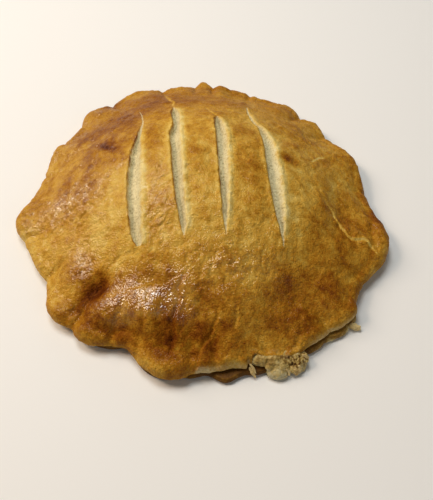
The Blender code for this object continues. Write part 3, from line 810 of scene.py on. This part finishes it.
# Browner and paler patches, in the columns of WRINKLE_PATCHES. The brown ones at the pit,
# (-35.4, -43.8) and (-38.5, -46.5), are painted shade, and those in the valleys under the bulge,
# (-30, -57) and (-10.5, -60), are browning and painted shade.
BAKE_AND_SHADE_PATCHES = (
    (-31, -8, 16, 8, -0.14, 85), (-36, -22, 14, 10, -0.1, 60), (-62, -24, 14, 8, -0.17, 120),
    (-20, -48, 16, 6, 0.1, -6), (-35.4, -43.8, 3.6, 3, 0.42, 40), (-38.5, -46.5, 5.5, 4, 0.16, 45),
    (-30, -57, 17, 4.5, 0.24, -16), (-27.5, -36.6, 8, 1.5, -0.07, 24), (-36, -36.5, 5, 3.5, 0.12),
    (-11, 7, 5, 12, -0.19), (0, -35, 12, 5, -0.06), (5, -15, 7, 10, -0.09), (15, 30, 12, 9, -0.1),
    (-70, -5, 6, 5, 0.1), (-10.5, -60, 8, 4, 0.22, 100), (37, -45, 18, 10, 0.21, 20),
    (55, -10, 8, 6, 0.14, 60), (62, 4, 8, 14, 0.12, 100), (33.5, 7, 4.6, 2, 0.3, -15),
    (-36.5, 15.5, 8, 2.2, 0.22, -45), (-6, 50, 24, 16, 0.19), (-25, 18, 8, 14, 0.12),
    (-38, 32, 18, 12, 0.19, 30), (-55, -4, 12, 8, 0.1), (-50, -33, 5, 5, -0.1), (3, -62, 16, 7, 0.16),
    (26, -58, 16, 4, 0.06, 10), (42, -29, 6, 7, 0.07), (-40, -46, 5, 4, 0.08), (-16, 22, 5, 10, 0.06),
    (0, 12, 7, 14, -0.08), (-40, 5, 8, 12, 0.08), (46, 3, 13, 9, -0.13), (36, -13, 8, 14, -0.13),
    (55, -20, 10, 9, 0.1), (5, -27, 13, 15, -0.12), (-10, -47, 5, 6, 0.1), (0, -58, 8, 7, 0.08),
    (-12, -66, 8, 4, 0.14, -10), (8, -66, 9, 3.5, 0.15), (-60, -14, 8, 5, 0.08), (19, -45, 6, 5, -0.08),
    (-45, -36, 8, 5, 0.1, -65), (-17, -6, 4, 10, -0.08), (60, -30, 8, 6, 0.04), (-20, -35, 8, 4, -0.16),
    (0, -46, 16, 5, 0.08), (41, -56, 7, 5, 0.13, 30), (70, -8, 5, 9, 0.28), (60, 7, 5, 7, -0.12),
    (-42, 56, 8, 6, 0.22), (25, -28, 11, 7, -0.08), (-68, -17, 5, 5, -0.1), (-41, -35, 5, 5, 0.08),
    (-41, -5, 6, 5, 0.07))
# Blotches with clear edges: (size, amount)
BLOTCHES = ((8, 0.07), (4.2, 0.06), (2.2, 0.06))
CALM_FROM = (20, 42)  # the far slope is plainer than the rest
UNGLAZED_RIGHT = (300, 304, 320, 328)  # a stretch of the rim that the egg missed
CUT_BAREST = (272, 277)  # the cut edge is barest up to the first angle, less from the second
# Where the egg lay thick and shines, in the same columns
GLAZE_LEVEL = 0.05
GLAZE_PATCHES = (
    (-22.5, -49.8, 13, 6.6, 1.2, -12), (-6, -49.5, 8, 3, 0.8, 100), (-14, -60, 15, 4, -0.4, -10),
    (-8, -37, 12, 4, -0.1), (-17, -45.8, 6, 1.1, -0.7, 5), (-25, -48.4, 4.5, 0.8, -0.6, -8),
    (-52, -8, 14, 5, 0.75, 18), (-43, -34, 5, 8, 0.5, 20), (-36.5, -43.8, 5, 4.5, -0.8, 40),
    (-14, -16, 5, 14, 0.25, 5), (10, -40, 16, 7, 0.3), (-45, 36, 24, 20, 0.4, 40), (-46, -4, 22, 30, 0.22))


def lid_tones(points, angle, nose_turn, inward, relief, raw, shade, fold_brown_and_shade):
    """Browning with painted shade, rawness and glaze. The crust is browner on what stands up and in
    brown creases, whose grooves are partly painted shade, and darker as painted shade in the slashes'
    crevices. Low on the rim, where no egg came, it is paler and dull, most of all at the cut edge,
    and it is raw dough in the slashes and under the torn spot."""
    x, y = points[:, 0], points[:, 1]
    cut = stretch_share(angle, CUT_ANGLES)
    right = stretch_share(angle, UNGLAZED_RIGHT)
    bare = cut * (0.75 - 0.45 * rise(angle, *CUT_BAREST)) + 0.6 * right
    low = rise(nose_turn, 1.15 - 0.8 * cut - 0.6 * right, 2 - 0.7 * cut - 0.4 * right)
    brown_and_shade = BAKE_LEVEL + oval_hills(x, y, BAKE_AND_SHADE_PATCHES) + 0.12 * np.clip(relief, -1.2, 1.2)
    calm = 1 - 0.55 * rise(y, *CALM_FROM)
    for number, (size, amount) in enumerate(BLOTCHES):
        noise = swayed_noise(points, size, 0.5 * size, 101 + 5 * number)
        brown_and_shade += calm * amount * np.tanh(2 * noise)
    # Painted shade: the slashes' crevices darken the crust by 0.55 of their shade.
    brown_and_shade += fold_brown_and_shade + 0.55 * shade - 0.12 * low
    torn = stretch_share(angle, TEAR_OPEN, TEAR_NOTCH[0])
    fading = stretch_share(angle, TEAR_BACK) * np.exp(-(inward / 1.6) ** 2)
    fading = fading * (0.12 + 0.25 * unevenness(points, 1.3, 123))
    raw = np.maximum(np.maximum(raw, 0.5 * torn * rise(nose_turn, 0.9, 2.4)), fading)
    raw = np.maximum(raw, low * np.minimum(0.18 + 0.45 * bare, 0.6))
    patchy = 0.75 + 0.6 * unevenness(points, 4, 121)
    glaze = (GLAZE_LEVEL + oval_hills(x, y, GLAZE_PATCHES)) * patchy * (1 - low) * (1 - raw)
    return np.clip(brown_and_shade, BAKE_LEAST, BAKE_MOST), raw, np.clip(glaze, 0, 1)


# Egg-washed puff pastry: a satin brown skin over pale matt dough. The egg is a clear coat, thick in
# blotches, and its own fine bump breaks a lamp's reflection into small glints.
CRUST_STOPS = (
    (0, "EBD48C"), (0.18, "DFBD62"), (0.34, "CFA342"), (0.48, "BD8A2A"), (0.62, "A36C16"), (0.76, "844B09"),
    (0.9, "602C03"), (1, "3C1502"))
RAW_STOPS = ((0, "968658"), (0.4, "D2C496"), (0.7, "E6DAAE"), (1, "EEE3B8"))
CRUST_GRAIN = ((3, 0.12), (1.2, 0.22), (0.5, 0.38))  # (size, amount)
# Pores, cloudy patches, coarse and fine skin, and glints: (size, octaves)
CRUST_NOISES = ((0.8, 3), (3, 2), (1.1, 3), (0.6, 2), (0.6, 0))
crust_finish, add, space = start_finish(
    "egg_washed_crust", IOR=1.45, Specular_IOR_Level=0.06, Coat_Roughness=0.1, Coat_IOR=2.2)
tone, raw, grey_and_shade = (add('Attribute', output="Fac", attribute_name=name)
                   for name in ("browning_and_shade", "raw", "grey_and_shade"))
tone = mottled(add, space, tone, CRUST_GRAIN)
crust_colour = add('ValToRGB', {0: tone}, stops=CRUST_STOPS)
pores, cloud, coarse, grain, glints = (
    add('TexNoise', {"Vector": space, "Scale": 1 / size, "Detail": detail})
    for size, detail in CRUST_NOISES)
stipple = -0.55
# The raw dough is greyed where the grey foot lies, partly as painted shade from the slash's wall.
for part, weight in ((pores, 1.9), (cloud, 0.5), (grey_and_shade, -0.24)):
    stipple = add('Math', {0: part, 1: weight, 2: stipple}, operation='MULTIPLY_ADD')
raw_colour = add('ValToRGB', {0: stipple}, stops=RAW_STOPS)
raw_share = add('Math', {0: pores, 1: 0.3, 2: raw}, operation='MULTIPLY_ADD')
raw_share = add('MapRange', {
    "Value": raw_share, "From Min": 0.22, "From Max": 1}, interpolation_type='SMOOTHSTEP')
add('Mix', {0: raw_share, 6: crust_colour, 7: raw_colour}, output=2, into="Base Color",
    data_type='RGBA')
add('Attribute', output="Fac", into="Coat Weight", attribute_name="glaze")
dull = add('Math', {0: cloud, 1: 0.2, 2: 0.42}, operation='MULTIPLY_ADD')
add('Math', {0: raw, 1: 0.2, 2: dull}, into="Roughness", operation='MULTIPLY_ADD')
skin = add('Math', {0: grain, 1: 0.9, 2: coarse}, operation='MULTIPLY_ADD')
add('Bump', {"Height": skin, "Distance": 0.6 * MM, "Strength": 0.75}, into="Normal")
add('Bump', {"Height": glints, "Distance": 0.28 * MM, "Strength": 1}, into="Coat Normal")

ring, angle, faces, rim = disc_grid()
points, away, nose_turn, inward = lid_skin(ring, angle)
detail, raw, shade, grey_and_shade, fold_brown_and_shade, standing = lid_detail(points, angle, nose_turn, inward)
tones = lid_tones(points, angle, nose_turn, inward, standing, raw, shade, fold_brown_and_shade)
points = points + away * detail[:, None]
from_middle = np.hypot(points[:, 0], points[:, 1])
over_room = (from_middle < CHEESE_RADIUS - 2) & (nose_turn == 0)
least = cheese_height(from_middle, CAVITY_GAP) + LEAST_WALL
points[:, 2] = np.where(over_room, np.maximum(points[:, 2], least), points[:, 2])
under = under_rings(angle[rim])
rows = np.vstack([len(points) + np.arange(len(under)).reshape(-1, len(rim)), rim])
pole = len(points) + len(under)
points = np.vstack([points, under, [[0, 0, CHEESE_TOP + CAVITY_GAP]]])
hidden = np.ones(len(under) + 1)
lid = add_piece("lid", points, np.vstack([faces, ring_faces(rows, pole)]), {
    "browning_and_shade": np.append(tones[0], 0.3 * hidden),
    "raw": np.append(tones[1], hidden),
    "glaze": np.append(tones[2], 0 * hidden),
    "grey_and_shade": np.append(grey_and_shade, 0 * hidden)}, crust_finish)
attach(lid, "root")
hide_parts("lid_crust")

# -------- torn flakes
# Thin flakes of baked dough that hang from the torn edge, curl out of the curds beside it and
# stand on the crumbled base. Each broke away along a layer, so it is flat, curved and ragged.
FLAKE_STEPS = 26
FLAKE_TURNS = 14
FLAKE_FACING = (0, -0.7, 0.7)  # the way their broad side looks
FLAKE_RAGGED = ((1.1, 0.22), (0.5, 0.12))
# (width, thickness, how toasted, points along it)
FLAKES = (
    (1.4, 0.3, 0.1, ((18, -70, 4.2), (19, -71.2, 2.8), (20.2, -72.6, 1.2))),
    (0.9, 0.25, 0.02, ((18.2, -69.3, 5.4), (19.2, -70.2, 4.2), (20.4, -71.6, 2.4))),
    (1.6, 0.35, 0.2, ((33.2, -70.2, 4.4), (34.2, -71, 3.2), (34.4, -72, 1.2))),
    (1.3, 0.3, 0, ((35, -69.6, 4.8), (35.6, -70.2, 3.6), (35, -71.2, 2.2))),
    (1.2, 0.3, 0.05, ((36.2, -66.2, 6.2), (38, -66.6, 5.2), (38.8, -66.8, 3.6))),
    (0.9, 0.25, 0, ((30.6, -71, 4.6), (31.6, -71.4, 3.6), (31.9, -72.4, 2.2))),
    (2.6, 0.8, -0.14, ((54.6, -52.6, 1.8), (56.8, -53.4, 1.9), (59, -53.8, 1.3))))


def flake_points(width, thickness, path, seed):
    """A strip along a smooth curve. Its section is a flat ellipse whose width follows
    (1 - s^2)^0.5 of the share s from the middle, and noise makes it ragged."""
    share = np.linspace(0, 1, FLAKE_STEPS)
    knots = np.linspace(0, 1, len(path))
    line = np.stack([curve_through(share, knots, axis) for axis in np.array(path).T], axis=1)
    ahead = np.gradient(line, axis=0)
    ahead /= np.linalg.norm(ahead, axis=1, keepdims=True)
    side = np.cross(FLAKE_FACING, ahead)
    side /= np.linalg.norm(side, axis=1, keepdims=True)
    face = np.cross(ahead, side)
    half = np.sqrt(1 - (0.97 * (2 * share - 1)) ** 2)[:, None, None]
    turn = (np.arange(FLAKE_TURNS) * 2 * np.pi / FLAKE_TURNS)[None, :, None]
    across = 0.5 * width * half * np.cos(turn) * side[:, None]
    through = 0.5 * thickness * half * np.sin(turn) * face[:, None]
    points = (line[:, None] + across + through).reshape(-1, 3)
    points = np.vstack([points, line[:1], line[-1:]])
    seeds = (seed, seed + 10, seed + 20)
    ragged = np.stack([layered_noise(points, FLAKE_RAGGED, each) for each in seeds], axis=1)
    return points + width * 0.6 * ragged


# Toasted dough flakes: golden and dry, lighter than the crust, each toasted by its own amount.
FLAKE_STOPS = ((0, "E2C88A"), (0.4, "C9A258"), (0.75, "A87A34"), (1, "6E4517"))
flake_finish, add, space = start_finish("toasted_flakes", Roughness=0.55, IOR=1.45)
tone = add('Attribute', output="Fac", attribute_name="toasted")
noise = add('TexNoise', {"Vector": space, "Scale": 1 / 0.9, "Detail": 3})
tone = add('Math', {0: noise, 1: 0.8, 2: tone}, operation='MULTIPLY_ADD')
tone = add('Math', {0: tone, 1: 0.3}, operation='SUBTRACT')
add('ValToRGB', {0: tone}, stops=FLAKE_STOPS, into="Base Color")
add('Bump', {"Height": noise, "Distance": 0.3 * MM, "Strength": 0.6}, into="Normal")

shells = [flake_points(width, thickness, path, 141 + number)
          for number, (width, thickness, _, path) in enumerate(FLAKES)]
flakes = add_piece("torn_flakes", *joined(shells, FLAKE_STEPS, FLAKE_TURNS), {
    "toasted": np.repeat([toasted for _, _, toasted, _ in FLAKES], len(shells[0]))}, flake_finish)
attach(flakes, "root")

# -------- floor and light
# A plain pale floor under soft studio light: a key lamp high above the back left, a small warm one
# from the left for the glints, a broad warm one at the back left, a broad cool one low behind for
# the sheen on the far slopes, and a weak fill at the front right.
FLOOR_HALF = 900
floor_finish, _, _ = start_finish("pale_matt_floor", Roughness=0.7, Base_Color=linear("F2F2F0"))
corners = np.array([[-1, -1, 0], [1, -1, 0], [1, 1, 0], [-1, 1, 0]]) * FLOOR_HALF
floor = add_piece("floor", corners, np.array([[0, 1, 2], [0, 2, 3]]), {}, floor_finish)

# (place in mm, size in mm, watts, colour)
LAMPS = (
    ((-120, 240, 740), 300, 2.8, "FAFCFA"),
    ((-450, 60, 620), 170, 1.5, "FFE6CC"),
    ((-560, 230, 530), 360, 2.4, "FFECD8"),
    ((120, 900, 380), 700, 0.85, "E4F2FF"),
    ((520, -560, 520), 500, 0.6, "FFFFFF"))
for number, (place, size, watts, colour) in enumerate(LAMPS):
    light = bpy.data.lights.new(f"soft_lamp_{number}", 'AREA')
    light.size = size * MM
    light.energy = watts
    light.color = linear(colour)[:3]
    lamp = add_object(light.name, light)
    lamp.location = np.array(place) * MM
    lamp.rotation_euler = (-lamp.location).to_track_quat('-Z', 'Y').to_euler()
world = bpy.data.worlds.new("soft_daylight")
world.use_nodes = True
sky = world.node_tree.nodes["Background"].inputs
sky["Color"].default_value = linear("FAF6EE")
sky["Strength"].default_value = 0.09
bpy.context.scene.world = world
bpy.context.scene.view_settings.view_transform = 'Standard'

# -------- camera
# It stands in front of the pie and looks down on it by 56 degrees, as the photograph was taken.
CAMERA_PLACE = (6.72, -158.31, 207.26)
CAMERA_PITCH = 56
FOCAL_PIXELS = 631.6
IMAGE_HEIGHT = 500
SENSOR = 24
view = bpy.data.cameras.new("front_camera")
view.sensor_fit = 'VERTICAL'
view.sensor_height = view.sensor_width = SENSOR
view.lens = SENSOR * FOCAL_PIXELS / IMAGE_HEIGHT
view.clip_start = 0.01
camera = add_object("front_camera", view)
camera.location = np.array(CAMERA_PLACE) * MM
camera.rotation_euler = (np.radians(90 - CAMERA_PITCH), 0, 0)
bpy.context.scene.camera = camera
